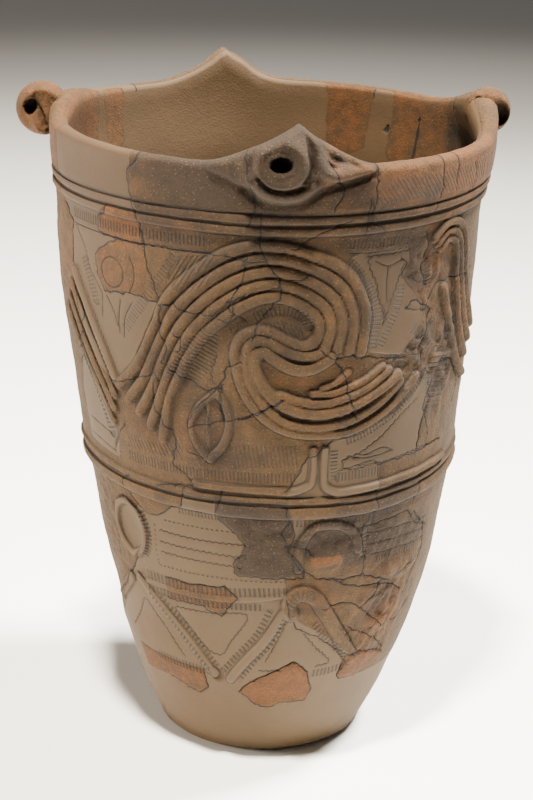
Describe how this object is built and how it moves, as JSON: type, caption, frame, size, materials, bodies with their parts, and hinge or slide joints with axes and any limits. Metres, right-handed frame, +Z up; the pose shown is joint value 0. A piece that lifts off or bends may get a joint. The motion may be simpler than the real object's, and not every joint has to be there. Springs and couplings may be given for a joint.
{
  "type": "jomon pottery vessel",
  "caption": "Deep hand-built earthenware vessel, hollow and open at the top, with peaked and ring-shaped rim lugs and coiled swirl relief over a plain tapering base.",
  "frame": {"origin": "centre of the flat underside that the vessel stands on", "axes": "+Z up along the vessel's height, -Y towards the peaked lug with the blind eye that faces the viewer, +X to the viewer's right"},
  "size_m": [0.3395, 0.3314, 0.4766],
  "materials": {
    "earthenware": "rough, unglazed, low-fired"
  },
  "bodies": {
    "root": {"vessel": "earthenware"}
  },
  "joints": []
}
